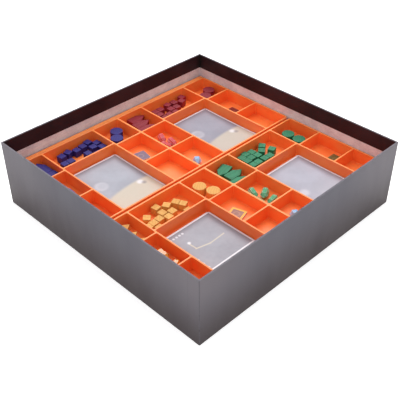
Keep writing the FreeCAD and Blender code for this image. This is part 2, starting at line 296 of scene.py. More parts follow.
def new_piece(name, mesh, materials, node, body, smooth_angle=40):
    """Turns mesh code into an object that rides on a body and stands for a CAD node."""
    data = bpy.data.meshes.new(name)
    mesh.normal_update()
    mesh.to_mesh(data)
    mesh.free()
    for material in materials:
        data.materials.append(material)
    data.shade_smooth()
    data.set_sharp_from_angle(angle=math.radians(smooth_angle))
    piece = bpy.data.objects.new(name, data)
    bpy.context.scene.collection.objects.link(piece)
    even = piece.modifiers.new("even_normals", "WEIGHTED_NORMAL")
    even.keep_sharp = True
    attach(piece, body)
    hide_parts(node)
    return piece


(wrap_low, wrap_high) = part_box("printed_wrap")
wrap_half = wrap_high[0] * TO_MM
wrap_foot = wrap_low[2] * TO_MM
wrap_top = wrap_high[2] * TO_MM
wrap_inside = wrap_half - WRAP_WALL
turn_in_end = wrap_top - TURN_IN_DEPTH

profile = [(WRAP_PAPER, wrap_foot), (0.0, wrap_foot)]
for part in range(1, 9):
    profile.append((0.0, wrap_foot + (wrap_top - WRAP_RIM - wrap_foot) * part / 8))
for sine, cosine in quarter(RIM_STEPS)[1:]:
    profile.append((WRAP_RIM * (1 - cosine), wrap_top - WRAP_RIM + WRAP_RIM * sine))
inner_face = wrap_half - wrap_inside
for sine, cosine in quarter(RIM_STEPS)[::-1]:
    profile.append((inner_face - WRAP_RIM * (1 - cosine), wrap_top - WRAP_RIM + WRAP_RIM * sine))
inside_from = len(profile) - 2
for part in range(1, 5):
    profile.append((inner_face, wrap_top - WRAP_RIM + (turn_in_end - wrap_top + WRAP_RIM) * part / 4))
profile.append((inner_face - WRAP_PAPER, turn_in_end))

wrap = bmesh.new()
below = None
for number, (inset, height) in enumerate(profile):
    half = wrap_half - inset
    corner = max(WRAP_CORNER - inset, WRAP_LEAST_CORNER)
    ring = ring_of(wrap, rounded_rectangle(-half, half, -half, half, corner), height)
    if below:
        for face in skin_between(wrap, below, ring):
            face.material_index = 1 if number > inside_from else 0
    below = ring

PRINT_MIDDLE = shade(84, 82, 91)
# the next two colours are a painted light for the walls' far ends and a painted shade for their foot; the
# darker one also marks the lap seam
PRINT_PAINTED_LIGHT = shade(104, 97, 102)
PRINT_SHADE_AND_SEAM = shade(58, 48, 51)
PRINT_FOLD = shade(32, 28, 30)
PRINT_RUBBED = shade(134, 130, 138)
PRINT_SHEEN = 0.25
FOLD_WIDTH = 1.3
LAP_LINE_WIDTH = (0.05, 0.32)
TURN_IN_PRINT = shade(38, 20, 25)
TURN_IN_BLOOM = shade(52, 30, 35)
# painted shade for the inner corners of the turned-in strip
TURN_IN_CORNER_SHADE = shade(26, 30, 30)
TURN_IN_CUT = shade(22, 12, 12)
CORNER_SHADE_WIDTH = 9.0

# rubbing on edges: ragged pale patches wherever the given edge value is high
RUB_SOFTNESS = 0.08
rub, given, made = start_group(
    "edge_rub",
    [("Edge", "Float"), ("Place", "Vector"), ("Patch Size", "Float"), ("Amount", "Float")],
    [("Mask", "Float")],
)
patch_scale = sum_up(rub, "DIVIDE", 1.0, given["Patch Size"])
patches = noise(rub, given["Place"], patch_scale, 6.0, 0.65)
threshold = sum_up(rub, "MULTIPLY_ADD", given["Amount"], -0.5, 0.75)
threshold_low = sum_up(rub, "SUBTRACT", threshold, RUB_SOFTNESS)
threshold_high = sum_up(rub, "ADD", threshold, RUB_SOFTNESS)
ragged = step_between(rub, patches, threshold_low, threshold_high)
rub.links.new(sum_up(rub, "MULTIPLY", ragged, given["Edge"], clamp=True), made["Mask"])


def wall_edges(tree, place, top, half, width):
    """1 at an upright corner and 1 at the rim, each fading to 0 over a width."""
    apart = put(tree, "ShaderNodeSeparateXYZ", {0: place}).outputs
    across = [sum_up(tree, "ABSOLUTE", apart[0]), sum_up(tree, "ABSOLUTE", apart[1])]
    from_corner = sum_up(tree, "SUBTRACT", half, sum_up(tree, "MINIMUM", *across))
    from_rim = sum_up(tree, "SUBTRACT", top, apart[2])
    near_corner = step_between(tree, from_corner, 0.0, width, 1.0, 0.0)
    rim = step_between(tree, from_rim, 0.0, width, 1.0, 0.0)
    return near_corner, rim, apart, across


wrap_print, tree, shader = start_material("wrap_print")
place = place_in_mm(tree)
near_corner, rim, apart, across = wall_edges(tree, place, wrap_top, wrap_half, FOLD_WIDTH)
along = sum_up(tree, "MINIMUM", *across)
wash = noise(tree, place, 0.011, 3.0)
# painted shade and light: the print darkens towards the foot of each wall and lightens towards its far ends
# and top
light_by_height = step_between(tree, apart[2], 0.0, 80.0)
print_colour = blend_colours(tree, light_by_height, PRINT_SHADE_AND_SEAM, PRINT_MIDDLE)
painted_light_at_ends = sum_up(tree, "MULTIPLY", step_between(tree, along, 30.0, 150.0), light_by_height)
painted_light_at_ends = sum_up(tree, "MULTIPLY", painted_light_at_ends, sum_up(tree, "MULTIPLY_ADD", wash, 0.8, 0.25))
print_colour = blend_colours(tree, painted_light_at_ends, print_colour, PRINT_PAINTED_LIGHT)
lap_gap = sum_up(tree, "ABSOLUTE", sum_up(tree, "SUBTRACT", along, wrap_half - LAP_WIDTH))
lap_line = step_between(tree, lap_gap, *LAP_LINE_WIDTH, 1.0, 0.0)
on_x_walls = sum_up(tree, "GREATER_THAN", across[0], wrap_half - 1.0)
lap_line = sum_up(tree, "MULTIPLY", lap_line, on_x_walls)
print_colour = blend_colours(tree, sum_up(tree, "MULTIPLY", lap_line, 0.35), print_colour, PRINT_SHADE_AND_SEAM)
print_colour = blend_colours(tree, sum_up(tree, "MULTIPLY", near_corner, 0.7), print_colour, PRINT_FOLD)
edges = sum_up(tree, "MAXIMUM", rim, sum_up(tree, "MULTIPLY", near_corner, 0.5))
worn = use_group(tree, rub, Edge=edges, Place=place, Patch_Size=3.5, Amount=0.7)["Mask"]
print_colour = blend_colours(tree, sum_up(tree, "MULTIPLY", worn, 0.6), print_colour, PRINT_RUBBED)
smears = noise(tree, stretched(tree, place, (1.0, 1.0, 0.35)), 0.05, 4.0)
gloss = sum_up(tree, "MULTIPLY_ADD", smears, 0.22, 0.4)
gloss = sum_up(tree, "MULTIPLY_ADD", worn, 0.3, gloss)
linen = noise(tree, place, 1.6, 2.0)
relief = sum_up(tree, "MULTIPLY_ADD", lap_line, -1.2, linen)
dress(tree, shader, print_colour, gloss, relief, 0.05)
shader.inputs["Specular IOR Level"].default_value = PRINT_SHEEN

turn_in, tree, shader = start_material("turn_in_print")
place = place_in_mm(tree)
near_corner, rim, apart, across = wall_edges(tree, place, wrap_top, wrap_inside, CORNER_SHADE_WIDTH)
bloom = step_between(tree, noise(tree, place, 0.03, 4.0), 0.35, 0.7)
turn_in_colour = blend_colours(tree, bloom, TURN_IN_PRINT, TURN_IN_BLOOM)
# painted shade: the turned-in strip darkens within 9 mm of each inner upright corner
turn_in_colour = blend_colours(tree, sum_up(tree, "MULTIPLY", near_corner, 0.8), turn_in_colour, TURN_IN_CORNER_SHADE)
rim = step_between(tree, apart[2], wrap_top - 1.2, wrap_top - 0.1)
worn = use_group(tree, rub, Edge=rim, Place=place, Patch_Size=3.0, Amount=0.7)["Mask"]
turn_in_colour = blend_colours(tree, sum_up(tree, "MULTIPLY", worn, 0.6), turn_in_colour, PRINT_RUBBED)
cut_edge = step_between(tree, apart[2], turn_in_end + 0.05, turn_in_end + 0.5, 1.0, 0.0)
turn_in_colour = blend_colours(tree, cut_edge, turn_in_colour, TURN_IN_CUT)
dress(tree, shader, turn_in_colour, 0.5, noise(tree, place, 1.3, 2.0), 0.04)
shader.inputs["Specular IOR Level"].default_value = PRINT_SHEEN

wrap_piece = new_piece("printed_wrap_paper", wrap, [wrap_print, turn_in], "printed_wrap", "box")

# ---------------------------------------------------------------- lower tray
# A tray of moulded orange plastic that stands on the box's floor and holds the map tiles. The
# upper trays rest on its walls and on the flange of its middle rib. A ledge runs along its back.

LOWER_EDGE = 0.5

# moulded plastic skin: faint pits, flow marks and uneven gloss
skin, given, made = start_group(
    "moulded_skin",
    [("Place", "Vector"), ("Pit Size", "Float")],
    [("Flow", "Float"), ("Gloss", "Float"), ("Height", "Float")],
)
flow = noise(skin, stretched(skin, given["Place"], (0.5, 1.0, 2.0)), 0.03, 3.0)
pits = noise(skin, given["Place"], sum_up(skin, "DIVIDE", 1.0, given["Pit Size"]), 2.0)
smudges = noise(skin, given["Place"], 0.12, 5.0, 0.6)
skin.links.new(flow, made["Flow"])
skin.links.new(smudges, made["Gloss"])
skin.links.new(pits, made["Height"])

ORANGE = shade(255, 136, 66)
ORANGE_DEEP = shade(252, 120, 54)
# a painted highlight colour for the tops of the walls
ORANGE_RIM_HIGHLIGHT = shade(255, 158, 86)
TRAY_GLOW = 0.12
TRAY_GLOW_DEPTH = (2.5, 0.8, 0.2)


def orange_plastic(name, rim_height):
    """Moulded orange plastic, with a painted highlight along the top of its walls."""
    material, tree, shader = start_material(name)
    place = place_in_mm(tree)
    skin_made = use_group(tree, skin, Place=place, Pit_Size=0.35)
    flow_share = step_between(tree, skin_made["Flow"], 0.35, 0.65)
    colour = blend_colours(tree, flow_share, ORANGE_DEEP, ORANGE)
    height = put(tree, "ShaderNodeSeparateXYZ", {0: place}).outputs[2]
    # painted highlight: every wall turns paler over its top millimetre
    rim = step_between(tree, height, rim_height - 1.0, rim_height - 0.1)
    uneven = sum_up(tree, "MULTIPLY_ADD", skin_made["Gloss"], 0.5, 0.35, clamp=True)
    colour = blend_colours(tree, sum_up(tree, "MULTIPLY", rim, uneven), colour, ORANGE_RIM_HIGHLIGHT)
    gloss = sum_up(tree, "MULTIPLY_ADD", skin_made["Gloss"], 0.2, 0.3)
    dress(tree, shader, colour, gloss, skin_made["Height"], 0.02)
    shader.inputs["Subsurface Weight"].default_value = TRAY_GLOW
    shader.inputs["Subsurface Radius"].default_value = TRAY_GLOW_DEPTH
    shader.inputs["Subsurface Scale"].default_value = MM
    return material


def whole_faces(node):
    """A CAD node's mesh with its triangles joined back into whole flat faces."""
    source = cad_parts[node]
    mesh = bmesh.new()
    mesh.from_mesh(source.data)
    mesh.transform(source.matrix_world)
    bmesh.ops.remove_doubles(mesh, verts=mesh.verts, dist=TILT)
    flat = math.radians(1)
    bmesh.ops.dissolve_limit(mesh, angle_limit=flat, verts=mesh.verts, edges=mesh.edges)
    return mesh


def ease_edges(mesh, radius, steps=2, sharper_than=25):
    """Rounds every edge that turns more than an angle, and marks the new faces as edge."""
    turn = math.radians(sharper_than)
    mark = mesh.faces.layers.float.new("edge_face")
    edges = [edge for edge in mesh.edges if edge.calc_face_angle(0.0) > turn]
    made = bmesh.ops.bevel(
        mesh,
        geom=edges,
        offset=radius * MM,
        offset_type="OFFSET",
        segments=steps,
        profile=0.5,
        affect="EDGES",
        clamp_overlap=True,
    )
    for face in made["faces"]:
        face[mark] = 1.0
    return mesh


tray_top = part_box("upper_tray_back")[1][2] * TO_MM
lower_tray = ease_edges(whole_faces("lower_tray"), LOWER_EDGE)
lower_plastic = orange_plastic("lower_tray_plastic", tray_top)
lower_piece = new_piece("lower_tray_moulding", lower_tray, [lower_plastic], "lower_tray", "lower_tray")

# ---------------------------------------------------------------- map tiles
# Square tiles of printed chipboard, punched out with slightly rounded corners and stacked in the
# two wells of the lower tray. Their cut edges are bare board.

TILE_EDGE = 0.25
FIELD_GREEN = shade(112, 132, 88)
FIELD_SAND = shade(190, 170, 122)
FIELD_WATER = shade(96, 132, 146)
TILE_LINE = shade(70, 66, 54)
TILE_BOARD = shade(196, 188, 176)

tile_face, tree, shader = start_material("map_tile_print")
place = place_in_mm(tree)
patch = put(tree, "ShaderNodeTexVoronoi", {"Vector": place, "Scale": 0.045}).outputs["Color"]
patch = put(tree, "ShaderNodeSeparateColor", {0: patch}).outputs
tile_colour = blend_colours(tree, sum_up(tree, "GREATER_THAN", patch[0], 0.5), FIELD_GREEN, FIELD_SAND)
tile_colour = blend_colours(tree, sum_up(tree, "GREATER_THAN", patch[1], 0.72), tile_colour, FIELD_WATER)
border_feeds = {"Vector": place, "Scale": 0.045}
border = put(tree, "ShaderNodeTexVoronoi", border_feeds, feature="DISTANCE_TO_EDGE").outputs["Distance"]
tile_colour = blend_colours(tree, step_between(tree, border, 0.01, 0.03, 1.0, 0.0), tile_colour, TILE_LINE)
geometry = put(tree, "ShaderNodeNewGeometry").outputs
normal = put(tree, "ShaderNodeSeparateXYZ", {0: geometry["Normal"]}).outputs
pulp = use_group(tree, fibre, Place=place, Hair_Length=1.4, Fleck_Share=0.3)
upright = step_between(tree, sum_up(tree, "ABSOLUTE", normal[2]), 0.5, 0.8)
tile_side = blend_colours(tree, pulp["Flecks"], TILE_BOARD, BOARD_FLECK)
tile_colour = blend_colours(tree, upright, tile_side, tile_colour)
tile_gloss = sum_up(tree, "MULTIPLY_ADD", upright, -0.35, 0.85)
dress(tree, shader, tile_colour, tile_gloss, pulp["Height"], 0.05)

for side in ("front_left", "front_right", "back_left", "back_right"):
    node = "map_tiles_" + side
    tiles = ease_edges(whole_faces(node), TILE_EDGE)
    tile_piece = new_piece(node + "_stack", tiles, [tile_face], node, "map_tiles")

# ---------------------------------------------------------------- upper trays
# Two long trays moulded in orange plastic, each with the cells of two players side by side. The
# walls stand on a flat floor with a small radius at their foot, and their rims are rounded.

TRAY_WALL = 2.0
TRAY_CORNER = 4.0
CELL_CORNER = 1.5
RIM_RADIUS = 0.55
FOOT_RADIUS = 0.6
UNDER_EDGE = 0.4
FLOOR_THICKNESS = 2.0
SMALL_CELL_WIDTH = 35.4
MIDDLE_WALL = 2.5
LONG_CELL_DEPTH = 38.2
FAR_CELL_DEPTH = 42.0
MIDDLE_CELL_DEPTH = 46.5


def cells_of_section(left, right, near, far):
    """The eight cells of one player's section, from its inside edges."""
    card_left = left + SMALL_CELL_WIDTH + TRAY_WALL
    card_right = right - SMALL_CELL_WIDTH - TRAY_WALL
    long_near = far - LONG_CELL_DEPTH
    far_near = far - FAR_CELL_DEPTH
    middle_far = far_near - TRAY_WALL
    middle_near = middle_far - MIDDLE_CELL_DEPTH
    cells = [
        (card_left, card_right, long_near, far),
        (card_left, card_right, near, long_near - TRAY_WALL),
    ]
    for start, end in ((left, left + SMALL_CELL_WIDTH), (right - SMALL_CELL_WIDTH, right)):
        cells.append((start, end, far_near, far))
        cells.append((start, end, middle_near, middle_far))
        cells.append((start, end, near, middle_near - TRAY_WALL))
    return cells


def moulded_tray(node):
    """The tray's whole skin: outside, underside, rims, and each cell down to its floor."""
    low, high = ([part * TO_MM for part in corner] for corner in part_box(node))
    mesh = bmesh.new()
    rim_edges = []

    def ring_at(bounds, inset, corner, height):
        x0, x1, y0, y1 = bounds
        radius = max(corner - inset, 0.2)
        points = rounded_rectangle(x0 + inset, x1 - inset, y0 + inset, y1 - inset, radius)
        return ring_of(mesh, points, height)

    def keep_edges(ring):
        for k, vertex in enumerate(ring):
            rim_edges.append(mesh.edges.get((vertex, ring[(k + 1) % len(ring)])))

    outline = (low[0], high[0], low[1], high[1])
    below = ring_at(outline, UNDER_EDGE, TRAY_CORNER, low[2])
    mesh.faces.new(below[::-1])
    stations = [(UNDER_EDGE * (1 - s), low[2] + UNDER_EDGE * (1 - c)) for s, c in quarter(3)[1:]]
    for s, c in quarter(RIM_STEPS):
        stations.append((RIM_RADIUS * (1 - c), high[2] - RIM_RADIUS * (1 - s)))
    for inset, height in stations:
        ring = ring_at(outline, inset, TRAY_CORNER, height)
        skin_between(mesh, below, ring)
        below = ring
    keep_edges(below)

    floor = low[2] + FLOOR_THICKNESS
    near, far = low[1] + TRAY_WALL, high[1] - TRAY_WALL
    cells = cells_of_section(low[0] + TRAY_WALL, -MIDDLE_WALL / 2, near, far)
    cells += cells_of_section(MIDDLE_WALL / 2, high[0] - TRAY_WALL, near, far)
    for cell in cells:
        stations = []
        for s, c in quarter(RIM_STEPS)[::-1]:
            stations.append((-RIM_RADIUS * (1 - c), high[2] - RIM_RADIUS * (1 - s)))
        for s, c in quarter(4):
            stations.append((FOOT_RADIUS * (1 - c), floor + FOOT_RADIUS * (1 - s)))
        above = None
        for inset, height in stations:
            ring = ring_at(cell, inset, CELL_CORNER, height)
            if above:
                skin_between(mesh, ring, above)
            else:
                top_ring = ring
            above = ring
        mesh.faces.new(above)
        keep_edges(top_ring)
    bmesh.ops.triangle_fill(mesh, use_beauty=True, edges=rim_edges, normal=(0, 0, 1))
    bmesh.ops.recalc_face_normals(mesh, faces=mesh.faces)
    return mesh


upper_plastic = orange_plastic("upper_tray_plastic", tray_top)
for node in ("upper_tray_back", "upper_tray_front"):
    tray_piece = new_piece(node + "_moulding", moulded_tray(node), [upper_plastic], node, node, 30)

# ---------------------------------------------------------------- wooden cubes, houses and discs
# Beech sawn and turned to small shapes, tumbled so that its edges are soft, and dyed in each
# player's colour, or left natural. Dye sits darker in the growth rings and wears on the edges.

EDGE_OF_WOOD = 0.5
DISC_EDGE = 0.7
WOOD_SEED = 11

random.seed(WOOD_SEED)


def separate_solids(mesh):
    """Each closed solid of a mesh, as its own mesh, in a fixed order."""
    seen = set()
    solids = []
    mesh.verts.index_update()
    for start in mesh.verts:
        if start.index in seen:
            continue
        seen.add(start.index)
        members, queue = [start], [start]
        while queue:
            for edge in queue.pop().link_edges:
                for vertex in edge.verts:
                    if vertex.index not in seen:
                        seen.add(vertex.index)
                        members.append(vertex)
                        queue.append(vertex)
        numbers = {vertex: k for k, vertex in enumerate(members)}
        solid = bmesh.new()
        corners = [solid.verts.new(vertex.co) for vertex in members]
        for face in {face for vertex in members for face in vertex.link_faces}:
            solid.faces.new([corners[numbers[vertex]] for vertex in face.verts])
        solid.normal_update()
        solids.append(solid)
    mesh.free()
    middles = {id(solid): middle_of(solid) for solid in solids}
    return sorted(solids, key=lambda solid: [round(part, 5) for part in middles[id(solid)]][::-1])


def middle_of(mesh):
    """The middle of a mesh's box."""
    corners = [vertex.co for vertex in mesh.verts]
    low = Vector([min(corner[k] for corner in corners) for k in range(3)])
    high = Vector([max(corner[k] for corner in corners) for k in range(3)])
    return (low + high) / 2


def own_axes(solid):
    """A matrix from the frame to a solid's own axes, with X along its longest level edge."""
    level = [edge for edge in solid.edges if abs(edge.verts[0].co.z - edge.verts[1].co.z) < TILT]
    longest = max(round(edge.calc_length(), 5) for edge in level)
    ways = []
    for edge in level:
        if round(edge.calc_length(), 5) == longest:
            run = edge.verts[1].co - edge.verts[0].co
            ways.append(math.atan2(run.y, run.x) % math.pi)
    turn = Matrix.Rotation(-min(ways), 4, "Z")
    return turn @ Matrix.Translation(-middle_of(solid))


def joined(parts):
    """One mesh from many, with each part's own millimetre coordinates and tone marked on it."""
    whole = bmesh.new()
    own = whole.verts.layers.float_vector.new("own_place")
    tone = whole.verts.layers.float.new("own_tone")
    edge = whole.faces.layers.float.new("edge_face")
    for mesh, axes, level in parts:
        source = mesh.faces.layers.float.get("edge_face")
        copies = {}
        for vertex in mesh.verts:
            copy = whole.verts.new(vertex.co)
            copy[own] = (axes @ vertex.co) * TO_MM
            copy[tone] = level
            copies[vertex] = copy
        for face in mesh.faces:
            copy = whole.faces.new([copies[vertex] for vertex in face.verts])
            copy.material_index = face.material_index
            copy[edge] = face[source] if source else 0.0
        mesh.free()
    return whole


# beech: growth rings, short ray flecks and pores, in a piece's own coordinates
beech, given, made = start_group(
    "beech_grain",
    [("Place", "Vector"), ("Ring Width", "Float"), ("Wander", "Float")],
    [("Rings", "Float"), ("Flecks", "Float"), ("Height", "Float")],
)
bend = noise(beech, given["Place"], 0.09, 2.0)
bend = sum_up(beech, "MULTIPLY", bend, given["Wander"])
apart = put(beech, "ShaderNodeSeparateXYZ", {0: given["Place"]}).outputs
radius = put(
    beech,
    "ShaderNodeVectorMath",
    {0: stretched(beech, given["Place"], (0.04, 1.0, 1.0))},
    operation="LENGTH",
).outputs["Value"]
ring_place = sum_up(beech, "DIVIDE", sum_up(beech, "ADD", radius, bend), given["Ring Width"])
saw = sum_up(beech, "FRACT", ring_place)
rings = step_between(beech, saw, 0.25, 0.95)
grain_lines = noise(beech, stretched(beech, given["Place"], (0.12, 3.2, 3.2)), 1.0, 3.0)
ray = noise(beech, stretched(beech, given["Place"], (0.5, 4.0, 1.6)), 1.3, 1.0)
ray_flecks = step_between(beech, ray, 0.62, 0.7)
pores = step_between(beech, grain_lines, 0.3, 0.48)
beech.links.new(rings, made["Rings"])
beech.links.new(ray_flecks, made["Flecks"])
beech.links.new(sum_up(beech, "MULTIPLY_ADD", rings, 0.25, pores), made["Height"])

WOOD_COLOURS = {
    "blue": (shade(34, 30, 124), shade(16, 12, 84), shade(64, 62, 158)),
    "red": (shade(146, 20, 42), shade(92, 8, 24), shade(178, 58, 70)),
    "yellow": (shade(226, 170, 86), shade(190, 128, 50), shade(238, 196, 122)),
    "green": (shade(30, 132, 92), shade(6, 84, 56), shade(84, 164, 124)),
}


def dyed_wood(colour):
    """Beech in one player's colour."""
    face, deep, rubbed = WOOD_COLOURS[colour]
    material, tree, shader = start_material(colour + "_beech")
    place = marked(tree, "own_place", "Vector")
    tone = marked(tree, "own_tone")
    grain = use_group(tree, beech, Place=place, Ring_Width=2.6, Wander=5.0)
    ring_share = sum_up(tree, "MULTIPLY", grain["Rings"], 0.38)
    wood = blend_colours(tree, ring_share, face, deep)
    wood = blend_colours(tree, sum_up(tree, "MULTIPLY", grain["Flecks"], 0.4), wood, deep)
    piece_share = sum_up(tree, "MULTIPLY", tone, 0.3)
    wood = blend_colours(tree, piece_share, wood, deep)
    worn = use_group(
        tree, rub, Edge=marked(tree, "edge_face"), Place=place, Patch_Size=2.2, Amount=0.62
    )["Mask"]
    wood = blend_colours(tree, sum_up(tree, "MULTIPLY", worn, 0.35), wood, rubbed)
    gloss = sum_up(tree, "MULTIPLY_ADD", grain["Height"], 0.12, 0.46)
    dress(tree, shader, wood, gloss, grain["Height"], 0.05)
    return material


GRAIN_WAYS = (
    Matrix.Identity(4),
    Matrix.Rotation(math.pi / 2, 4, "Z"),
    Matrix.Rotation(math.pi / 2, 4, "Y"),
)


def from_one_board(solid, way=0):
    """A solid's own axes, moved to a spot of its own in the tree's trunk."""
    spot = (random.uniform(-40, 40), random.uniform(9, 22), random.uniform(9, 22))
    return Matrix.Translation(Vector(spot) * MM) @ GRAIN_WAYS[way] @ own_axes(solid)


for colour in WOOD_COLOURS:
    wood = dyed_wood(colour)
    for kind, radius in (("cubes", EDGE_OF_WOOD), ("houses", EDGE_OF_WOOD), ("discs", DISC_EDGE)):
        node = colour + "_" + kind
        parts = []
        for solid in separate_solids(whole_faces(node)):
            way = {"cubes": random.choice((0, 1, 2)), "houses": 0, "discs": 2}[kind]
            axes = from_one_board(solid, way)
            parts.append((ease_edges(solid, radius, 3), axes, random.random()))
        piece = new_piece(node + "_wood", joined(parts), [wood], node, node, 35)

# ---------------------------------------------------------------- crystals and clear gems
# Six-sided points moulded in clear dyed acrylic. Their facets are flat and polished, their
# edges are a little soft, and faint clouds and flow lines hang inside.

CRYSTAL_EDGE = 0.22
ACRYLIC_IOR = 1.49
CRYSTAL_COLOURS = {
    "blue": (shade(86, 66, 188), shade(198, 180, 250)),
    "red": (shade(228, 70, 84), shade(255, 196, 192)),
    "yellow": (shade(244, 150, 12), shade(255, 208, 76)),
    "green": (shade(84, 184, 130), shade(214, 250, 224)),
    "clear": (shade(154, 206, 252), shade(238, 249, 255)),
}


def acrylic(colour, clearness):
    """Dyed acrylic: tint, pale clouds inside, painted highlights on the rounded edges, and polished facets
    with faint scratches.
    """
    tint, cloud_and_highlight = CRYSTAL_COLOURS[colour]
    material, tree, shader = start_material(colour + "_acrylic")
    place = marked(tree, "own_place", "Vector")
    clouds = step_between(tree, noise(tree, stretched(tree, place, (0.35, 1.0, 1.0)), 0.32, 4.0), 0.42, 0.7)
    body = blend_colours(tree, sum_up(tree, "MULTIPLY", clouds, 0.75), tint, cloud_and_highlight)
    edge = marked(tree, "edge_face")
    # painted highlight: the rounded edges are blended towards the pale cloud colour
    body = blend_colours(tree, sum_up(tree, "MULTIPLY", edge, 0.45), body, cloud_and_highlight)
    scratches = noise(tree, stretched(tree, place, (0.6, 6.0, 6.0)), 0.8, 2.0)
    gloss = sum_up(tree, "MULTIPLY_ADD", scratches, 0.1, 0.05)
    dress(tree, shader, body, gloss, scratches, 0.012)
    shader.inputs["Transmission Weight"].default_value = clearness
    shader.inputs["IOR"].default_value = ACRYLIC_IOR
    shader.inputs["Coat Weight"].default_value = 0.5
    shader.inputs["Coat Roughness"].default_value = 0.05
    return material


clear_acrylic = acrylic("clear", 0.3)
for colour in WOOD_COLOURS:
    dyed_acrylic = acrylic(colour, 0.35)
    for kind, material, slot in (
        ("crystals", dyed_acrylic, colour + "_crystal"),
        ("clear_gem", clear_acrylic, "clear_gem"),
    ):
        node = colour + "_" + kind
        parts = []
        for solid in separate_solids(whole_faces(node)):
            axes = own_axes(solid)
            parts.append((ease_edges(solid, CRYSTAL_EDGE, 2), axes, random.random()))
        piece = new_piece(node + "_acrylic", joined(parts), [material], node, colour + "_crystals", 12)

# ---------------------------------------------------------------- board tokens
# Square tokens punched from printed board. The face has a plain frame round a darker field with
# one small ring, and the cut sides are bare board.

TOKEN_EDGE = 0.3
TOKEN_HALF = 8.5
TOKEN_FRAME = 2.3
TOKEN_COLOURS = {
    "blue": (shade(118, 108, 130), shade(104, 92, 116), shade(150, 128, 140)),
    "red": (shade(138, 38, 26), shade(112, 26, 20), shade(160, 60, 40)),
    "yellow": (shade(240, 176, 54), shade(140, 98, 88), shade(176, 130, 110)),
    "green": (shade(116, 92, 44), shade(92, 84, 40), shade(136, 116, 60)),
}


def token_print(colour):
    """A token's printed face, with bare board on its sides."""
    rim, field, mark = TOKEN_COLOURS[colour]
    material, tree, shader = start_material(colour + "_token_print")
    place = marked(tree, "own_place", "Vector")
    apart = put(tree, "ShaderNodeSeparateXYZ", {0: place}).outputs
    across = [sum_up(tree, "ABSOLUTE", apart[0]), sum_up(tree, "ABSOLUTE", apart[1])]
    reach = sum_up(tree, "MAXIMUM", *across)
    framed = step_between(tree, reach, TOKEN_HALF - TOKEN_FRAME - 0.15, TOKEN_HALF - TOKEN_FRAME + 0.15)
    flat = stretched(tree, place, (1.0, 1.0, 0.0))
    from_middle = put(tree, "ShaderNodeVectorMath", {0: flat}, operation="LENGTH").outputs["Value"]
    ring = sum_up(tree, "ABSOLUTE", sum_up(tree, "SUBTRACT", from_middle, 3.2))
    ring = step_between(tree, ring, 0.5, 0.9, 1.0, 0.0)
    pulp = use_group(tree, fibre, Place=place, Hair_Length=0.8, Fleck_Share=0.25)
    ink = step_between(tree, pulp["Tone"], 0.3, 0.7)
    face = blend_colours(tree, sum_up(tree, "MULTIPLY", ink, 0.35), field, mark)
    face = blend_colours(tree, sum_up(tree, "MULTIPLY", ring, 0.6), face, mark)
    face = blend_colours(tree, framed, face, rim)
    worn = use_group(
        tree, rub, Edge=marked(tree, "edge_face"), Place=place, Patch_Size=1.5, Amount=0.7
    )["Mask"]
    face = blend_colours(tree, sum_up(tree, "MULTIPLY", worn, 0.6), face, TILE_BOARD)
    normal = put(tree, "ShaderNodeNewGeometry").outputs["Normal"]
    upright = put(tree, "ShaderNodeSeparateXYZ", {0: normal}).outputs[2]
    side = blend_colours(tree, pulp["Flecks"], TILE_BOARD, BOARD_FLECK)
    level = step_between(tree, sum_up(tree, "ABSOLUTE", upright), 0.35, 0.6)
    colour_out = blend_colours(tree, level, side, face)
    gloss = sum_up(tree, "MULTIPLY_ADD", level, -0.4, 0.85)
    dress(tree, shader, colour_out, gloss, pulp["Height"], 0.04)
    return material


for colour in TOKEN_COLOURS:
    node = colour + "_token"
    (solid,) = separate_solids(whole_faces(node))
    axes = own_axes(solid)
    token = joined([(ease_edges(solid, TOKEN_EDGE), axes, 0.0)])
    piece = new_piece(node + "_board", token, [token_print(colour)], node, node)

# ---------------------------------------------------------------- decks of cards
# Cards of thin coated board, face up in their cell. Each has a white margin round a printed
# night-sky picture. The cards are a little out of line, and bow upwards towards their ends.

CARD_HALF_WIDTH = 31.75
CARD_HALF_LENGTH = 44.0
CARD_BOW = 0.55
CARD_LINES = 10
CARD_MARGIN = 2.1
CARD_STOCK = shade(236, 232, 236)
STOCK_FLECK = shade(190, 184, 188)
CARD_SKY = {
    "blue": shade(165, 168, 180),
    "red": shade(150, 148, 162),
    "yellow": shade(156, 154, 164),
    "green": shade(172, 172, 186),
}
# a dark ink in the pictures, also used for the painted shadow of the cell's walls
CARD_DARK_INK_AND_SHADOW = shade(104, 100, 112)
CARD_WHITE = shade(226, 224, 230)
CARD_CREAM = shade(200, 188, 170)

# a soft-edged disc on a card: 1 inside, 0 outside
spot_mask, given, made = start_group(
    "soft_disc",
    [("Place", "Vector"), ("Middle", "Vector"), ("Radius", "Float"), ("Softness", "Float")],
    [("Mask", "Float")],
)
gap = put(spot_mask, "ShaderNodeVectorMath", {0: given["Place"], 1: given["Middle"]}, operation="SUBTRACT")
gap = stretched(spot_mask, gap.outputs[0], (1.0, 1.0, 0.0))
gap = put(spot_mask, "ShaderNodeVectorMath", {0: gap}, operation="LENGTH").outputs["Value"]
inner = sum_up(spot_mask, "SUBTRACT", given["Radius"], given["Softness"])
outer = sum_up(spot_mask, "ADD", given["Radius"], given["Softness"])
disc = put(
    spot_mask,
    "ShaderNodeMapRange",
    {"Value": gap, "From Min": inner, "From Max": outer, "To Min": 1.0, "To Max": 0.0},
    interpolation_type="SMOOTHSTEP",
)
spot_mask.links.new(disc.outputs[0], made["Mask"])

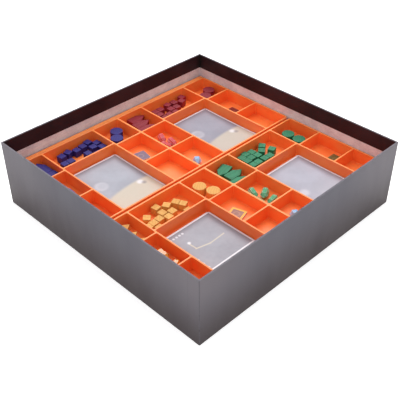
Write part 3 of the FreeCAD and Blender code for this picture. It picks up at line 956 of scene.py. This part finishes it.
# a soft-edged bar on a card, from its middle, half length, half width and turn
bar_mask, given, made = start_group(
    "soft_bar",
    [
        ("Place", "Vector"),
        ("Middle", "Vector"),
        ("Half Length", "Float"),
        ("Half Width", "Float"),
        ("Turn", "Float"),
        ("Softness", "Float"),
    ],
    [("Mask", "Float"), ("Along", "Float")],
)
turned = put(
    bar_mask,
    "ShaderNodeVectorRotate",
    {"Vector": given["Place"], "Center": given["Middle"], "Angle": given["Turn"]},
    rotation_type="Z_AXIS",
)
ends = {0: turned.outputs[0], 1: given["Middle"]}
gap = put(bar_mask, "ShaderNodeVectorMath", ends, operation="SUBTRACT")
parts = put(bar_mask, "ShaderNodeSeparateXYZ", {0: gap.outputs[0]}).outputs
long_gap = sum_up(bar_mask, "SUBTRACT", sum_up(bar_mask, "ABSOLUTE", parts[0]), given["Half Length"])
wide_gap = sum_up(bar_mask, "SUBTRACT", sum_up(bar_mask, "ABSOLUTE", parts[1]), given["Half Width"])
worst = sum_up(bar_mask, "MAXIMUM", long_gap, wide_gap)
inside_bar = put(
    bar_mask,
    "ShaderNodeMapRange",
    {"Value": worst, "From Min": 0.0, "From Max": given["Softness"], "To Min": 1.0, "To Max": 0.0},
    interpolation_type="SMOOTHSTEP",
)
bar_mask.links.new(inside_bar.outputs[0], made["Mask"])
bar_mask.links.new(parts[0], made["Along"])

# each picture is a list of (shape, colour, share, middle, sizes, softness), laid in order
MARKS_ACROSS = (-28.0, -24.0, -20.0, -16.0, -12.0)
MARKS_DOWN = (-1.0, -8.0, -15.0)
PICTURES = {
    "blue": [
        ("disc", CARD_WHITE, 0.35, (-19.4, 6.0), (7.5,), 2.4),
        ("disc", CARD_SKY["blue"], 0.6, (-18.0, 5.6), (5.4,), 2.6),
        ("disc", CARD_CREAM, 0.9, (13.0, -162.7), (150.0,), 2.6),
        ("disc", CARD_WHITE, 0.8, (16.4, -16.7), (3.4,), 2.0),
        ("disc", CARD_DARK_INK_AND_SHADOW, 0.6, (19.0, -20.4), (2.4,), 1.8),
    ],
    "red": [
        ("disc", CARD_WHITE, 0.4, (-19.0, 7.0), (7.7,), 2.4),
        ("disc", CARD_SKY["red"], 0.6, (-17.6, 6.6), (5.6,), 2.6),
        ("disc", CARD_CREAM, 0.75, (13.0, -162.7), (150.0,), 2.6),
        ("disc", CARD_WHITE, 0.7, (16.4, -16.7), (3.4,), 2.0),
        ("disc", CARD_DARK_INK_AND_SHADOW, 0.6, (19.0, -20.4), (2.4,), 1.8),
    ],
    "yellow": [
        ("bar", CARD_CREAM, 0.9, (-17.5, 17.0), (5.2, 0.3, 1.5), 0.9),
        ("bar", CARD_CREAM, 0.9, (-10.0, 10.0), (8.2, 0.35, 0.245), 0.9),
        ("bar", CARD_CREAM, 0.8, (8.0, 8.5), (10.0, 0.3, -0.05), 0.9),
        ("disc", CARD_WHITE, 0.9, (-17.0, 22.4), (1.7,), 1.0),
        *(("disc", CARD_WHITE, 0.7, (across, 37.0), (1.3,), 0.5) for across in MARKS_ACROSS),
        *(("disc", CARD_WHITE, 0.6, (-27.6, down), (1.3,), 0.6) for down in MARKS_DOWN),
        ("bar", CARD_WHITE, 1.0, (0.0, -20.4), (31.75, 1.6, 0.0), 0.3),
    ],
    "green": [
        ("disc", CARD_WHITE, 0.45, (-19.5, -6.0), (5.0,), 3.0),
        ("disc", CARD_WHITE, 0.2, (4.0, -34.0), (24.0,), 16.0),
    ],
}


def card_print(colour):
    """The printed face of a deck's top card."""
    material, tree, shader = start_material(colour + "_card_print")
    place = marked(tree, "own_place", "Vector")
    apart = put(tree, "ShaderNodeSeparateXYZ", {0: place}).outputs
    haze = noise(tree, place, 0.03, 3.0)
    sky = blend_colours(tree, step_between(tree, haze, 0.3, 0.7), CARD_SKY[colour], CARD_DARK_INK_AND_SHADOW)
    sky = blend_colours(tree, 0.75, sky, CARD_SKY[colour])
    # painted shadow: the picture darkens within 11 mm of its right side and far end, where the cell's walls
    # cast shade
    from_side = sum_up(tree, "SUBTRACT", CARD_HALF_WIDTH, apart[0])
    from_far = sum_up(tree, "SUBTRACT", CARD_HALF_LENGTH, apart[1])
    wall_shadow = step_between(tree, sum_up(tree, "MINIMUM", from_side, from_far), 1.0, 11.0, 0.5, 0.0)
    sky = blend_colours(tree, wall_shadow, sky, CARD_DARK_INK_AND_SHADOW)
    for shape, ink, share, middle, sizes, softness in PICTURES[colour]:
        where = (*middle, 0.0)
        if shape == "disc":
            mask = use_group(
                tree, spot_mask, Place=place, Middle=where, Radius=sizes[0], Softness=softness
            )["Mask"]
        else:
            mask = use_group(
                tree,
                bar_mask,
                Place=place,
                Middle=where,
                Half_Length=sizes[0],
                Half_Width=sizes[1],
                Turn=sizes[2],
                Softness=softness,
            )["Mask"]
        sky = blend_colours(tree, sum_up(tree, "MULTIPLY", mask, share), sky, ink)
    across = [sum_up(tree, "ABSOLUTE", apart[0]), sum_up(tree, "ABSOLUTE", apart[1])]
    side_gap = sum_up(tree, "SUBTRACT", CARD_HALF_WIDTH, across[0])
    end_gap = sum_up(tree, "SUBTRACT", CARD_HALF_LENGTH, across[1])
    margin_gap = sum_up(tree, "MINIMUM", side_gap, end_gap)
    margin = step_between(tree, margin_gap, CARD_MARGIN - 0.2, CARD_MARGIN + 0.2, 1.0, 0.0)
    face = blend_colours(tree, margin, sky, CARD_WHITE)
    scuffed = step_between(tree, noise(tree, place, 0.25, 5.0), 0.35, 0.75)
    gloss = sum_up(tree, "MULTIPLY_ADD", scuffed, 0.18, 0.34)
    linen = noise(tree, place, 2.2, 2.0)
    dress(tree, shader, face, gloss, linen, 0.02)
    return material


card_stock, tree, shader = start_material("card_stock")
place = marked(tree, "own_place", "Vector")
pulp = use_group(tree, fibre, Place=place, Hair_Length=0.6, Fleck_Share=0.18)
stock_colour = blend_colours(tree, pulp["Flecks"], CARD_STOCK, STOCK_FLECK)
dress(tree, shader, stock_colour, 0.6, pulp["Height"], 0.02)


def bowed_card(solid, axes, lift):
    """A card cut across into strips, so that it can bow along its length."""
    back = axes.inverted()
    for line in range(1, CARD_LINES):
        at = -CARD_HALF_LENGTH + 2 * CARD_HALF_LENGTH * line / CARD_LINES
        point = back @ (Vector((0, at, 0)) * MM)
        normal = (back.to_3x3() @ Vector((0, 1, 0))).normalized()
        geometry = solid.verts[:] + solid.edges[:] + solid.faces[:]
        bmesh.ops.bisect_plane(solid, geom=geometry, plane_co=point, plane_no=normal)
    for vertex in solid.verts:
        share = (axes @ vertex.co).y / (CARD_HALF_LENGTH * MM)
        vertex.co.z += lift * MM * share * share
    solid.normal_update()
    for face in solid.faces:
        face.material_index = 0 if face.normal.z > 0.7 else 1
    return solid


def upright_axes(solid):
    """A card's own axes, with Y along its length."""
    quarter_turn = Matrix.Rotation(math.pi / 2, 4, "Z")
    axes = own_axes(solid)
    return quarter_turn @ axes if abs(axes[0][0]) < 0.5 else axes


for colour in CARD_SKY:
    node = colour + "_card_deck"
    cards = separate_solids(whole_faces(node))
    parts = []
    for number, solid in enumerate(cards):
        axes = upright_axes(solid)
        lift = CARD_BOW * number / (len(cards) - 1)
        parts.append((bowed_card(solid, axes, lift), axes, 0.0))
    deck = joined(parts)
    piece = new_piece(node + "_cards", deck, [card_print(colour), card_stock], node, node, 30)

# ---------------------------------------------------------------- floor, light and camera
# A plain pale floor, a white sky and two large soft lamps, one high at the back right and one
# weaker at the front left. The camera looks down at the box's near corner.

FLOOR_SIDE = 8.0
SKY_STRENGTH = 0.72
FLOOR_GLOW = 0.55
FOCAL_LENGTH = 63.939
SENSOR_WIDTH = 36.0
EYE = Vector((-0.45053, -0.45201, 0.49122))
LOOK = Vector((0.56071, 0.56182, -0.60825))
UP = Vector((0.43045, 0.42974, 0.79374))

ground = bmesh.new()
bmesh.ops.create_grid(ground, x_segments=4, y_segments=4, size=FLOOR_SIDE / 2)
ground_data = bpy.data.meshes.new("studio_floor")
ground.to_mesh(ground_data)
ground.free()
floor_paper, tree, shader = start_material("studio_floor_paper")
floor_grain = noise(tree, place_in_mm(tree), 0.02, 3.0)
floor_colour = blend_colours(tree, floor_grain, shade(246, 246, 247), shade(250, 250, 250))
dress(tree, shader, floor_colour, 0.8, floor_grain, 0.01)
shader.inputs["Emission Color"].default_value = (1.0, 1.0, 1.0, 1.0)
shader.inputs["Emission Strength"].default_value = FLOOR_GLOW
ground_data.materials.append(floor_paper)
studio_floor = bpy.data.objects.new("studio_floor", ground_data)
bpy.context.scene.collection.objects.link(studio_floor)

sky = bpy.data.worlds.new("studio_sky")
sky.use_nodes = True
background = sky.node_tree.nodes["Background"]
background.inputs["Color"].default_value = (1.0, 1.0, 1.0, 1.0)
background.inputs["Strength"].default_value = SKY_STRENGTH
bpy.context.scene.world = sky


def softbox(name, position, side, watts):
    """A square lamp aimed at the middle of the box."""
    lamp = bpy.data.lights.new(name, "AREA")
    lamp.shape = "SQUARE"
    lamp.size = side
    lamp.energy = watts
    holder = bpy.data.objects.new(name, lamp)
    holder.location = position
    holder.rotation_euler = (Vector((0, 0, 0.04)) - Vector(position)).to_track_quat("-Z", "Y").to_euler()
    bpy.context.scene.collection.objects.link(holder)


softbox("key_softbox", (0.55, 0.45, 1.35), 1.1, 18.0)
softbox("fill_softbox", (-1.1, -0.6, 0.8), 1.4, 2.0)

lens = bpy.data.cameras.new("camera")
lens.sensor_width = SENSOR_WIDTH
lens.lens = FOCAL_LENGTH
lens.clip_start = 0.05
lens.clip_end = 20.0
camera = bpy.data.objects.new("camera", lens)
right = LOOK.cross(UP).normalized()
level_up = right.cross(LOOK).normalized()
turn = Matrix((right, level_up, -LOOK.normalized())).transposed()
camera.matrix_world = Matrix.Translation(EYE) @ turn.to_4x4()
bpy.context.scene.collection.objects.link(camera)
bpy.context.scene.camera = camera
bpy.context.scene.view_settings.view_transform = "Standard"
